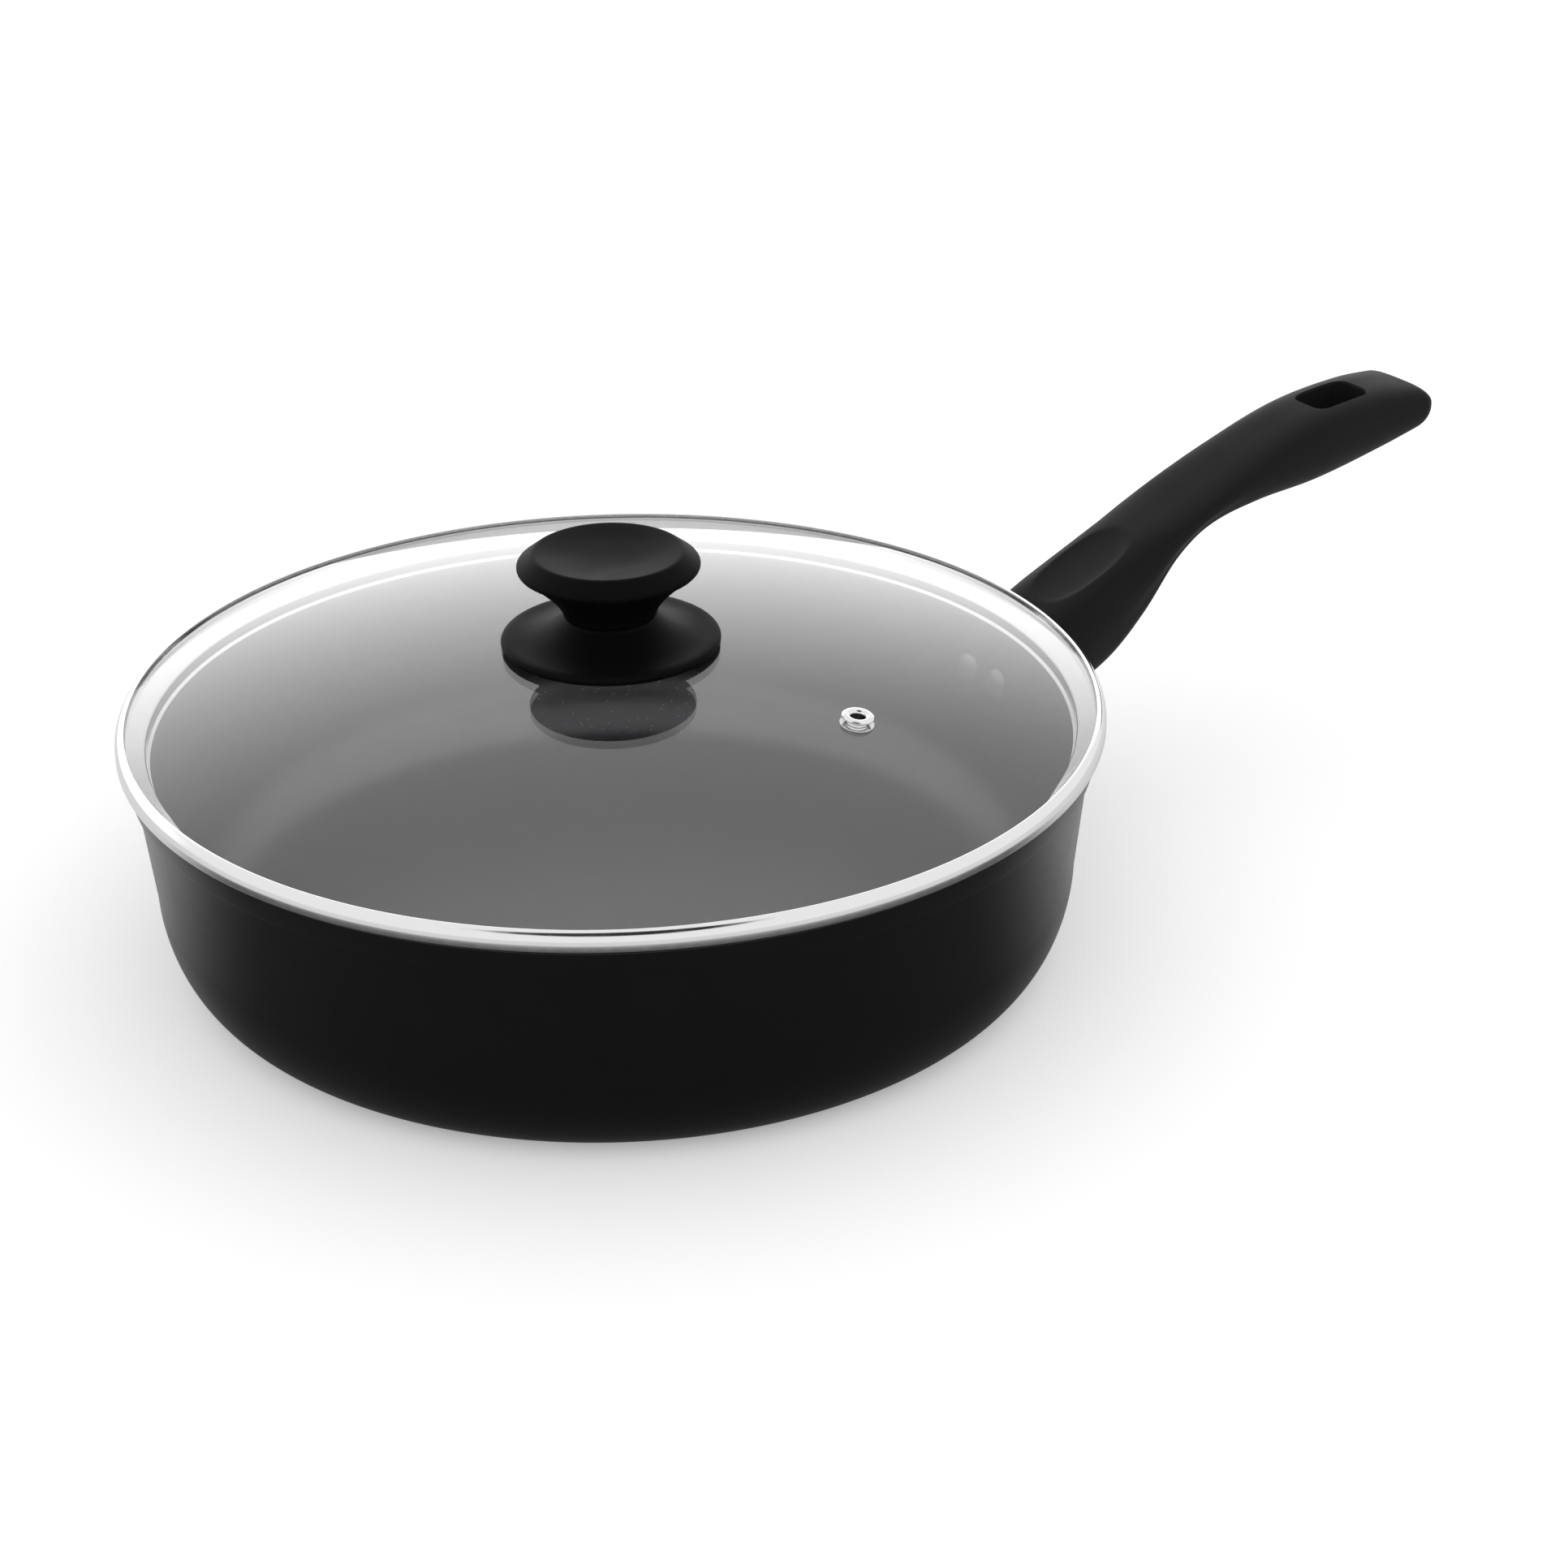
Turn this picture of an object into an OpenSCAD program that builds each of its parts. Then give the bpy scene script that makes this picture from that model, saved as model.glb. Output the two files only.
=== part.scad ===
// Saute pan with a domed glass lid.
// The pan stands on z = 0 with its axis on z, and the handle points along +x.

/* [Pan] */
// Inside diameter at the lip
pan_inner_d = 280; // [240:1:320]
// Height of the lip's outer edge above the table
pan_h = 70.4; // [60:0.1:90]
// Width of the lip, from its inner to its outer edge
lip_w = 3.3; // [2.8:0.1:4]
// Thickness of the side wall
wall_t = 2.8; // [2:0.1:3.2]
// Thickness of the floor
floor_t = 4; // [3:0.1:6]
// Slope of the side wall from upright, in degrees
wall_draft = 5.8; // [2:0.1:8]
// Height of the flared band below the lip
band_h = 7.8; // [6:0.1:9]
// How far the band draws in from the lip to its lower edge
band_flare = 1.4; // [0.5:0.1:2]
// Width of the step under the band
step_w = 1.4; // [0.6:0.1:2]
// Width of the rounded corner outside
corner_w = 17; // [12:0.5:22]
// Height of the rounded corner outside
corner_h = 28.5; // [22:0.5:34]
// Width of the rounded corner inside
inner_corner_w = 21; // [16:0.5:26]
// Number of turned rings in the underside
base_rings = 7; // [0:1:9]
// Distance from one turned ring to the next
ring_pitch = 12; // [8:0.5:12]
// Depth of a turned ring
ring_depth = 0.4; // [0.2:0.1:0.8]

/* [Lid] */
// Thickness of the glass
glass_t = 3.5; // [3:0.1:4.5]
// Radius of the sphere that the dome is part of
dome_r = 555; // [450:5:700]
// Ground bevel round the glass edge
glass_bevel = 1.2; // [0.8:0.1:1.5]
// Thickness of the steel band's sheet
sheet_t = 0.5; // [0.4:0.05:0.6]
// How far the steel band stands out past the lip
rim_overhang = 1.7; // [1.2:0.1:3]
// Height of the band's outer bead
bead_h = 5; // [4.8:0.1:6]
// Width of the bead's round top
bead_w = 2.6; // [2.2:0.1:3]
// Slope of the seat that the lid rests on, in degrees
seat_slope = 18.2; // [12:0.1:22]
// Gap between the lip and the skirt that centres the lid
skirt_play = 3.6; // [3:0.1:5]
// Depth of the skirt below the seat
skirt_h = 3.4; // [2:0.1:5]
// Radius of the rolled hem under the skirt
hem_r = 0.7; // [0.6:0.05:1]
// Distance of the steam vent from the centre
vent_at = 82.6; // [60:0.1:100]
// Direction of the steam vent from the handle, in degrees
vent_az = -63.8; // [-180:0.1:180]
// Bore of the steam vent
vent_d = 4.2; // [3:0.1:4.6]
// Diameter of the vent's flange
vent_flange_d = 9.5; // [8.4:0.1:12]
// Thickness of the vent's flange
vent_flange_t = 1.1; // [0.8:0.1:1.6]

/* [Knob] */
// Diameter of the base disc
knob_base_d = 64.4; // [56:0.2:72]
// Height of the base disc's edge
knob_edge_h = 2.6; // [2:0.1:4]
// Diameter of the neck
neck_d = 27.6; // [24:0.2:32]
// Height of the neck's joint above the glass
neck_h = 8.6; // [7:0.1:12]
// Widest diameter of the grip
grip_d = 53.4; // [46:0.2:60]
// Height of the widest part above the neck's joint
grip_flare_h = 15; // [12:0.1:20]
// Diameter of the dish in the top
dish_d = 43.4; // [36:0.2:45]
// Height of the dish's edge above the widest part
grip_crown_h = 4.4; // [3:0.1:6]
// Depth of the dish
dish_depth = 2.4; // [1:0.1:4]
// Diameter of the knob's screw
knob_screw_d = 5; // [4:0.5:6]
// Diameter of the threaded insert in the grip
insert_d = 9; // [8:0.5:11]
// Length of the threaded insert
insert_l = 11; // [8:0.5:13]
// Diameter of the gasket under the glass
gasket_d = 18; // [14:0.5:24]
// Thickness of the gasket
gasket_t = 1.5; // [1:0.1:2]
// Thickness of the washer under the gasket
knob_washer_t = 1.1; // [0.8:0.1:2]

/* [Handle] */
// Length of the handle from the wall to its tip
handle_l = 173; // [150:1:200]
// Width of the handle at the grip
handle_w = 32; // [28:0.5:36]
// Extra width at the root
root_extra_w = 6; // [4:0.5:8]
// Height of the bracket's middle above the table
bracket_z = 46; // [44:0.5:48]
// Length of the hanging hole
hang_l = 21.5; // [18:0.5:26]
// Width of the hanging hole
hang_w = 15; // [10:0.5:17]
// Corner radius of the hanging hole
hang_r = 4; // [2:0.5:4.5]
// Distance of the hanging hole's middle from the tip
hang_from_tip = 34; // [32:0.5:38]
// Slope of the top face at the hanging hole, in degrees
hang_tilt = 5; // [0:0.5:8]
// Length of the thumb rest
thumb_l = 38; // [30:1:44]
// Width of the thumb rest
thumb_w = 19; // [14:0.5:22]
// Depth of the thumb rest
thumb_depth = 2.2; // [1:0.1:3]

/* [Bracket] */
// Thickness of the bracket's plate
plate_t = 2; // [1.5:0.1:2.5]
// Width of the bracket's plate
plate_w = 29; // [27:0.5:30]
// Height of the bracket's plate
plate_h = 20; // [18:0.5:21]
// Width of the tongue
tongue_w = 18; // [14:0.5:20]
// Thickness of the tongue
tongue_t = 3; // [2.5:0.1:3.5]
// Length of the tongue
tongue_l = 36; // [34:0.5:40]
// Distance between the rivets
rivet_pitch = 15.4; // [12:0.2:17]
// Diameter of a rivet's shank
rivet_d = 5; // [4:0.1:5.4]
// Diameter of a rivet's domed head
rivet_head_d = 9.4; // [8:0.1:11]
// Height of a rivet's domed head
rivet_head_h = 2.2; // [1.5:0.1:3]
// Diameter of the handle's screw
handle_screw_d = 5; // [4:0.5:5]

/* [Clearances] */
// Gap between the lid and the pan
seat_gap = 0.32; // [0.3:0.01:0.4]
// Gap between curved pieces that are fastened together
fit_gap = 0.12; // [0.1:0.01:0.2]
// Gap round a screw in its thread
thread_gap = 0.05; // [0.03:0.01:0.1]
// Gap round a rivet or a screw in its hole
hole_gap = 0.2; // [0.1:0.05:0.4]
// Gap round the bracket inside the handle
socket_gap = 0.3; // [0.2:0.05:0.4]

/* [Hidden] */
$fn = 96;
steps = 14;
soft_black = [0.07, 0.07, 0.07];
coated_black = [0.09, 0.09, 0.09];
steel = [0.78, 0.78, 0.79];

// Pan outline
lip_in_r = pan_inner_d / 2;
lip_out_r = lip_in_r + lip_w;
step_z = pan_h - band_h;
wall_top_r = lip_out_r - band_flare - step_w;
function wall_r(z) = wall_top_r - (step_z - z) * tan(wall_draft);
function seat_z(r) = pan_h - (lip_out_r - r) * tan(seat_slope);
flare_start_z = step_z + 1;
corner_cx = wall_r(corner_h) - corner_w;
inner_cx = wall_r(corner_h) - wall_t - inner_corner_w;
inner_ch = corner_h - floor_t;
ring_w = 1.6;
first_ring_r = 24;

// Lid heights, built up from the seat
rim_r = lip_out_r + rim_overhang;
skirt_r = lip_in_r - skirt_play;
leaf_v = sheet_t / cos(seat_slope);
function leaf_low(r) = seat_z(r) + seat_gap;
function leaf_top(r) = leaf_low(r) + leaf_v;
glass_edge_gap = 0.4;
glass_r = rim_r - sheet_t - glass_edge_gap;
in_r = dome_r - glass_t;
function sag(big, r) = big - sqrt(big * big - r * r);
glass_low_c = leaf_top(glass_r) + glass_edge_gap + sag(in_r, glass_r);
glass_top_c = glass_low_c + glass_t;
dome_cz = glass_top_c - dome_r;
function glass_top(r) = glass_top_c - sag(dome_r, r);
bead_low_z = leaf_low(rim_r) + 1;
bead_cz = bead_low_z + bead_h - bead_w * 1.42 - 0.4;
bead_rz = bead_w * 1.42;
hem_z = leaf_low(skirt_r) - skirt_h;
vent_tilt = asin(vent_at / dome_r);
vent_tube_r = vent_d / 2 + 0.7;
vent_hole_r = vent_tube_r + hole_gap;

// Knob heights
edge_low_r = knob_base_d / 2 - 1.2;
edge_low_z = glass_top(edge_low_r) + fit_gap;
edge_top_z = edge_low_z + knob_edge_h;
neck_z = glass_top_c + neck_h;
flare_z = neck_z + grip_flare_h;
crown_z = flare_z + grip_crown_h;
insert_low_z = neck_z + 0.6;
gasket_top_z = glass_low_c - sag(in_r, gasket_d / 2) - 0.05;
washer_top_z = gasket_top_z - gasket_t - 0.04;
screw_top_z = washer_top_z - knob_washer_t - 0.04;
screw_head_h = 2.8;
screw_head_r = knob_screw_d * 0.9;

// Handle outline: distance along the handle as a share of its length, then heights from the bracket
root_r = wall_r(bracket_z);
HANDLE_TOP = [[0, 11], [0.1, 22.1], [0.25, 34.6], [0.405, 45.2], [0.56, 56.4], [0.72, 65.4], [0.88, 68.2], [1, 66.8]];
HANDLE_LOW = [[0, -13.5], [0.12, -10], [0.225, -2.6], [0.3, 9.6], [0.373, 27], [0.445, 36],
  [0.566, 39.6], [0.728, 41.2], [0.89, 46.6], [1, 52]];
HANDLE_WIDE = [[0, 1], [0.12, 0.85], [0.28, 0.45], [0.42, 0.12], [0.56, 0], [0.72, 0.02], [1, 0]];
lead_in = 12;
rings = 60;
around = 40;
tip_round = 5.5;

// Smooth curve through a list of points, with the slope at each point from its neighbours
function slope_at(P, i) = let(a = max(i - 1, 0), b = min(i + 1, len(P) - 1)) (P[b][1] - P[a][1]) / (P[b][0] - P[a][0]);
function span_of(P, u, i = 0) = (i >= len(P) - 2 || u < P[i + 1][0]) ? i : span_of(P, u, i + 1);
function smooth(P, u) = let(
  i = span_of(P, u),
  w = P[i + 1][0] - P[i][0],
  t = (u - P[i][0]) / w,
  a = P[i][1],
  b = P[i + 1][1],
  sa = slope_at(P, i) * w,
  sb = slope_at(P, i + 1) * w)
  a * (1 + 2 * t) * pow(1 - t, 2) + b * t * t * (3 - 2 * t) + sa * t * pow(1 - t, 2) - sb * t * t * (1 - t);
function handle_x(u) = root_r + u * handle_l;
function top_z(u) = bracket_z + (u < 0 ? HANDLE_TOP[0][1] : smooth(HANDLE_TOP, u));
function low_z(u) = bracket_z + (u < 0 ? HANDLE_LOW[0][1] : smooth(HANDLE_LOW, u));
function half_w(u) = (handle_w + root_extra_w * (u < 0 ? 1 : smooth(HANDLE_WIDE, u))) / 2;
function spow(v, e) = sign(v) * pow(abs(v), e);

// Thumb rest: how far the top sinks at a point of the handle
thumb_x = root_r + 37;
function thumb_sink(x, y) = let(q = pow((x - thumb_x) / (thumb_l / 2), 2) + pow(y / (thumb_w / 2), 2))
  q < 1 ? thumb_depth * pow(1 - q, 0.8) : 0;

// One ring of the handle: a rounded section whose widest line lies above its middle
ridge_share = 0.36;
function handle_ring(u, inset) = let(
  x = handle_x(u),
  hi = top_z(u) - inset,
  lo = low_z(u) + inset,
  w = half_w(u) - inset,
  ridge = hi - (hi - lo) * ridge_share)
  [for (k = [0:around - 1]) let(
    a = 360 * k / around,
    up = sin(a) >= 0,
    y = w * spow(cos(a), up ? 0.62 : 0.8),
    z = ridge + (up ? hi - ridge : ridge - lo) * spow(sin(a), up ? 0.62 : 0.9))
    [x, y, z - (up ? thumb_sink(x, y) : 0)]];

// Rings run from inside the wall to the tip, where they shrink along a quarter circle
tip_rings = 6;
tip_u = tip_round / handle_l;
u_start = -lead_in / handle_l;
HANDLE_RINGS = concat(
  [for (i = [0:rings]) handle_ring(u_start + (1 - tip_u - u_start) * i / rings, 0)],
  [for (i = [1:tip_rings]) let(a = 90 * i / tip_rings)
    handle_ring(1 - tip_u * (1 - sin(a)), tip_round * (1 - cos(a)) * 0.98)]);

// Bracket, rivets and screw
rivet_out_t = 1.3;
rivet_az = asin(rivet_pitch / 2 / root_r);
tongue_low_z = bracket_z + 3;
tongue_end_x = root_r + tongue_l;
handle_screw_x = root_r + 27;
screw_seat_z = tongue_low_z - 3.4;
handle_screw_l = 7.6;
handle_washer_t = 1;
head_bore_r = handle_screw_d * 0.95;
hang_x = root_r + handle_l - hang_from_tip;
hang_z = top_z(1 - hang_from_tip / handle_l);

// Outer outline of the pan from the base's edge up to the step under the band
function pan_outside() = concat(
  [for (i = [0:steps]) let(a = -90 + 90 * i / steps)
    [corner_cx + corner_w * cos(a), corner_h + corner_h * sin(a)]],
  [[wall_top_r, step_z]]);

// Inner outline from the lip down to the floor
function pan_inside() = concat(
  [[lip_in_r, seat_z(lip_in_r)], [wall_top_r - wall_t, flare_start_z]],
  [for (i = [0:steps]) let(a = -90 * i / steps)
    [inner_cx + inner_corner_w * cos(a), corner_h + inner_ch * sin(a)]]);

// Turned V rings in the underside, from the centre outwards
function ring_cuts() = base_rings < 1 ? [] : [for (i = [0:base_rings - 1]) let(r = first_ring_r + i * ring_pitch)
  each [[r - ring_w / 2, 0], [r, ring_depth], [r + ring_w / 2, 0]]];

module at_rivet(side) {
  rotate([0, 0, side * rivet_az])
    translate([wall_r(bracket_z), 0, bracket_z])
      rotate([0, 90 + wall_draft, 0])
        children();
}

module pan_body() {
  color(coated_black)
    difference() {
      rotate_extrude()
        polygon(concat([[0, 0]], ring_cuts(), pan_outside(),
          [[wall_top_r + step_w, step_z], [lip_out_r, pan_h]], pan_inside(), [[0, floor_t]]));
      for (side = [-1, 1])
        at_rivet(side)
          translate([0, 0, -wall_t * 3])
            cylinder(r = rivet_d / 2 + hole_gap, h = wall_t * 6);
    }
}

// A ring that lies on the wall, from one distance off it to another, between two heights
module wall_ring(from, to, low, high) {
  rotate_extrude()
    polygon([[wall_r(low) + from, low], [wall_r(low) + to, low], [wall_r(high) + to, high], [wall_r(high) + from, high]]);
}

module handle_bracket() {
  color(steel)
    difference() {
      union() {
        intersection() {
          wall_ring(fit_gap, fit_gap + plate_t, bracket_z - plate_h / 2, bracket_z + plate_h / 2);
          translate([0, -plate_w / 2, 0])
            cube([root_r * 2, plate_w, pan_h]);
        }
        translate([root_r + fit_gap + plate_t / 2 + 0.3, -tongue_w / 2, tongue_low_z])
          cube([tongue_l - fit_gap - plate_t / 2 - 0.3, tongue_w, tongue_t]);
      }
      for (side = [-1, 1])
        at_rivet(side)
          translate([0, 0, -plate_t * 3])
            cylinder(r = rivet_d / 2 + hole_gap, h = plate_t * 6);
      translate([handle_screw_x, 0, tongue_low_z - 1])
        cylinder(r = handle_screw_d / 2 + thread_gap, h = tongue_t + 2);
      for (side = [-1, 1])
        at_rivet(side)
          translate([0, 0, fit_gap + plate_t])
            cylinder(r = rivet_d * 0.8 + hole_gap, h = rivet_out_t * 2);
    }
}

// Rivet along its own axis, with z = 0 on the outside of the wall
module rivet() {
  cap_r = (pow(rivet_head_d / 2, 2) + rivet_head_h * rivet_head_h) / (2 * rivet_head_h);
  head_z = -wall_t - fit_gap;
  color(steel)
    union() {
      intersection() {
        translate([0, 0, head_z - rivet_head_h])
          cylinder(d = rivet_head_d + 1, h = rivet_head_h);
        translate([0, 0, head_z - rivet_head_h + cap_r])
          sphere(r = cap_r);
      }
      translate([0, 0, head_z - 0.5])
        cylinder(d = rivet_d, h = 0.5 + wall_t + fit_gap * 3 + plate_t);
      translate([0, 0, fit_gap * 2 + plate_t])
        cylinder(r = rivet_d * 0.8, h = rivet_out_t);
    }
}

module bracket_rivet_left() {
  at_rivet(1)
    rivet();
}

module bracket_rivet_right() {
  at_rivet(-1)
    rivet();
}

// Closed surface from rings of equal count: side faces between rings and a fan at each end
module loft(rows) {
  n = len(rows[0]);
  m = len(rows);
  middle_a = [rows[0][0][0], 0, (rows[0][n / 4][2] + rows[0][3 * n / 4][2]) / 2];
  middle_b = [rows[m - 1][0][0], 0, (rows[m - 1][n / 4][2] + rows[m - 1][3 * n / 4][2]) / 2];
  points = concat([for (row = rows) each row], [middle_a, middle_b]);
  sides = [for (i = [0:m - 2], k = [0:n - 1]) let(j = (k + 1) % n, a = i * n + k, b = i * n + j, c = a + n, d = b + n)
    each [[a, c, b], [b, c, d]]];
  ends = concat([for (k = [0:n - 1]) [m * n, k, (k + 1) % n]],
    [for (k = [0:n - 1]) [m * n + 1, (m - 1) * n + (k + 1) % n, (m - 1) * n + k]]);
  polyhedron(points = points, faces = concat(sides, ends), convexity = 6);
}

// Prism with a rounded rectangle section, centred on z
module round_slot(l, w, r, h) {
  translate([-l / 2 + r, -w / 2, -h / 2])
    cube([l - 2 * r, w, h]);
  translate([-l / 2, -w / 2 + r, -h / 2])
    cube([l, w - 2 * r, h]);
  for (x = [-1, 1], y = [-1, 1])
    translate([x * (l / 2 - r), y * (w / 2 - r), -h / 2])
      cylinder(r = r, h = h);
}

module handle_grip() {
  rivet_room = root_r + fit_gap * 2 + plate_t + rivet_out_t + socket_gap;
  color(soft_black)
    difference() {
      loft(HANDLE_RINGS);
      // the root follows the wall
      rotate_extrude()
        polygon([[0, 0], [wall_r(0) + seat_gap, 0], [wall_r(pan_h) + seat_gap, pan_h], [0, pan_h]]);
      // room for the plate, the rivets and the tongue
      intersection() {
        wall_ring(-wall_t, fit_gap + plate_t + socket_gap, bracket_z - plate_h / 2 - socket_gap,
          bracket_z + plate_h / 2 + socket_gap);
        translate([0, -plate_w / 2 - socket_gap, 0])
          cube([root_r * 2, plate_w + socket_gap * 2, pan_h]);
      }
      translate([root_r - wall_t, -(rivet_pitch + rivet_d * 2) / 2, bracket_z - rivet_d])
        cube([rivet_room - root_r + wall_t + 0.6, rivet_pitch + rivet_d * 2, rivet_d * 2]);
      translate([root_r, -tongue_w / 2 - socket_gap, tongue_low_z - socket_gap])
        cube([tongue_l + socket_gap, tongue_w + socket_gap * 2, tongue_t + socket_gap * 2]);
      // bore for the screw, with a wider bore for its head from below
      translate([handle_screw_x, 0, 0])
        cylinder(r = head_bore_r + hole_gap, h = screw_seat_z);
      translate([handle_screw_x, 0, screw_seat_z - 1])
        cylinder(r = handle_screw_d / 2 + hole_gap, h = handle_screw_l + 2);
      // hanging hole
      translate([hang_x, 0, hang_z])
        rotate([0, -hang_tilt, 0])
          round_slot(hang_l, hang_w, hang_r, 120);
    }
}

module handle_washer() {
  color(steel)
    translate([handle_screw_x, 0, screw_seat_z - fit_gap - handle_washer_t])
      difference() {
        cylinder(r = head_bore_r, h = handle_washer_t);
        translate([0, 0, -1])
          cylinder(r = handle_screw_d / 2 + hole_gap, h = handle_washer_t + 2);
      }
}

// Round-headed screw that points up from z = 0 at the seat of its head, with a cross recess
module cross_screw(d, l, head_r, head_h) {
  difference() {
    union() {
      cylinder(d = d, h = l);
      translate([0, 0, -head_h])
        cylinder(r = head_r, h = head_h);
    }
    for (turn = [0, 90])
      rotate([0, 0, turn])
        translate([-d * 0.45, -d * 0.09, -head_h - 1])
          cube([d * 0.9, d * 0.18, head_h * 0.55 + 1]);
  }
}

module handle_screw() {
  color(steel)
    translate([handle_screw_x, 0, screw_seat_z - fit_gap * 2 - handle_washer_t])
      cross_screw(handle_screw_d, handle_screw_l + handle_washer_t, head_bore_r, screw_head_h);
}

module lid_glass() {
  top_edge_z = glass_top(glass_r - glass_bevel);
  color([0.85, 0.88, 0.88, 0.35])
    difference() {
      intersection() {
        translate([0, 0, dome_cz])
          sphere(r = dome_r);
        rotate_extrude()
          polygon([[0, leaf_top(glass_r)], [glass_r, leaf_top(glass_r)], [glass_r, top_edge_z - glass_bevel],
            [glass_r - glass_bevel, top_edge_z], [glass_r - glass_bevel, glass_top_c + 1], [0, glass_top_c + 1]]);
      }
      translate([0, 0, dome_cz])
        sphere(r = in_r);
      translate([0, 0, glass_low_c - 5])
        cylinder(d = knob_screw_d + 1.4, h = glass_t + 10);
      at_vent(-glass_t * 2)
        cylinder(r = vent_hole_r, h = glass_t * 4);
    }
}

// The steel band: a round bead over the glass edge, a sloping leaf on the pan's lip, and a skirt with a rolled hem
module lid_rim() {
  bead = [for (i = [0:8]) let(a = 90 * i / 8) [rim_r - bead_w + bead_w * cos(a), bead_cz + bead_rz * sin(a)]];
  bead_in = [for (i = [8:-1:0]) let(a = 90 * i / 8)
    [rim_r - bead_w + (bead_w - sheet_t) * cos(a), bead_cz + (bead_rz - sheet_t) * sin(a)]];
  color(steel)
    rotate_extrude() {
      polygon(concat(
        [[skirt_r, hem_z], [skirt_r, leaf_low(skirt_r)], [rim_r - sheet_t, leaf_low(rim_r - sheet_t)],
          [rim_r, leaf_low(rim_r) + sheet_t * 0.6]],
        bead,
        bead_in,
        [[rim_r - sheet_t, leaf_top(rim_r - sheet_t)], [skirt_r - sheet_t, leaf_top(skirt_r - sheet_t)],
          [skirt_r - sheet_t, hem_z]]));
      translate([skirt_r - hem_r, hem_z])
        circle(r = hem_r);
    }
}

// Places a piece at the vent, square to the dome, with z = 0 on the outside of the glass
module at_vent(up) {
  translate([0, 0, dome_cz])
    rotate([0, 0, vent_az])
      rotate([0, vent_tilt, 0])
        translate([0, 0, dome_r + up])
          children();
}

module vent_eyelet() {
  flange_r = vent_flange_d / 2;
  bore_r = vent_d / 2;
  under = -glass_t - fit_gap * 2 - vent_flange_t;
  color(steel)
    at_vent(fit_gap)
      rotate_extrude()
        polygon([[bore_r, under - 0.6], [vent_tube_r + 0.9, under - 0.6], [vent_tube_r + 0.9, under - 0.1],
          [vent_tube_r, under - 0.1], [vent_tube_r, 0], [flange_r - 0.3, 0], [flange_r, vent_flange_t * 0.45],
          [flange_r - 0.7, vent_flange_t * 0.9], [flange_r - 1.6, vent_flange_t], [bore_r + 0.5, vent_flange_t * 0.8],
          [bore_r, vent_flange_t * 0.3]]);
}

module vent_washer() {
  color(steel)
    at_vent(-glass_t - fit_gap - vent_flange_t)
      difference() {
        cylinder(d = vent_flange_d + 0.6, h = vent_flange_t);
        translate([0, 0, -1])
          cylinder(r = vent_hole_r, h = vent_flange_t + 2);
      }
}

module knob_base() {
  rise = neck_z - edge_top_z;
  out_r = knob_base_d / 2;
  neck_r = neck_d / 2;
  bore_r = knob_screw_d / 2 + hole_gap;
  under = [for (i = [0:6]) let(r = bore_r + (edge_low_r - bore_r) * i / 6) [r, glass_top(r) + fit_gap]];
  edge = [for (i = [0:6]) let(a = -80 + 160 * i / 6)
    [out_r - 1.2 + 1.2 * cos(a), edge_low_z + knob_edge_h / 2 + knob_edge_h / 2 * sin(a)]];
  slope = [for (i = [0:9]) let(t = i / 9) [out_r - 2.2 - (out_r - 2.2 - neck_r) * t,
    edge_top_z + 0.15 + (rise - 0.75) * pow(t, 2.4)]];
  color(soft_black)
    rotate_extrude()
      polygon(concat(under, edge, slope, [[neck_r, neck_z - 0.3], [neck_r - 0.3, neck_z - fit_gap], [bore_r, neck_z - fit_gap]]));
}

module knob_grip() {
  neck_r = neck_d / 2;
  wide_r = grip_d / 2;
  dish_r = dish_d / 2;
  flare = [for (i = [0:9]) let(t = i / 9)
    [neck_r + (wide_r - 0.9 - neck_r) * pow(t, 1.45), neck_z + 0.5 + (grip_flare_h - 1.6) * t]];
  rim = [for (i = [0:5]) let(a = -50 + 100 * i / 5) [wide_r - 1.5 + 1.5 * cos(a), flare_z + 1.5 * sin(a)]];
  dish = [for (i = [1:7]) let(t = i / 7) [dish_r * (1 - t), crown_z - dish_depth * (1 - pow(1 - t, 2.2))]];
  color(soft_black)
    difference() {
      rotate_extrude()
        polygon(concat([[0, neck_z], [neck_r - 0.5, neck_z]], flare, rim, [[dish_r + 0.6, crown_z - 0.15], [dish_r, crown_z]],
          dish));
      translate([0, 0, neck_z - 1])
        cylinder(d = insert_d + fit_gap * 2, h = insert_low_z + insert_l - neck_z + 1 + fit_gap);
    }
}

module knob_insert() {
  color([0.80, 0.66, 0.36])
    translate([0, 0, insert_low_z])
      difference() {
        cylinder(d = insert_d, h = insert_l);
        translate([0, 0, -1])
          cylinder(d = knob_screw_d + thread_gap * 2, h = insert_l);
      }
}

// Flat ring under the glass, with its top at the given height
module flat_ring(top_z, d, t) {
  translate([0, 0, top_z - t])
    difference() {
      cylinder(d = d, h = t);
      translate([0, 0, -1])
        cylinder(r = knob_screw_d / 2 + hole_gap, h = t + 2);
    }
}

module knob_gasket() {
  color([0.85, 0.85, 0.82])
    flat_ring(gasket_top_z, gasket_d, gasket_t);
}

module knob_washer() {
  color(steel)
    flat_ring(washer_top_z, gasket_d - 2, knob_washer_t);
}

module knob_screw() {
  color(steel)
    translate([0, 0, screw_top_z])
      cross_screw(knob_screw_d, insert_low_z + insert_l - 2.5 - screw_top_z, screw_head_r, screw_head_h);
}

pan_body();
handle_bracket();
bracket_rivet_left();
bracket_rivet_right();
handle_grip();
handle_washer();
handle_screw();
lid_glass();
lid_rim();
vent_eyelet();
vent_washer();
knob_base();
knob_grip();
knob_insert();
knob_gasket();
knob_washer();
knob_screw();
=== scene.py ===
# %% [markdown]
# # A saute pan with a glass lid
#
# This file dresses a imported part: a deep pan of coated aluminium, a soft-touch handle, and a glass lid with a
# steel band. The part arrives as plain solids in metres, and each step below swaps one of them for a smooth
# surface, or gives it the finish that the real piece has.

# %% Load the frame
import math

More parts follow.
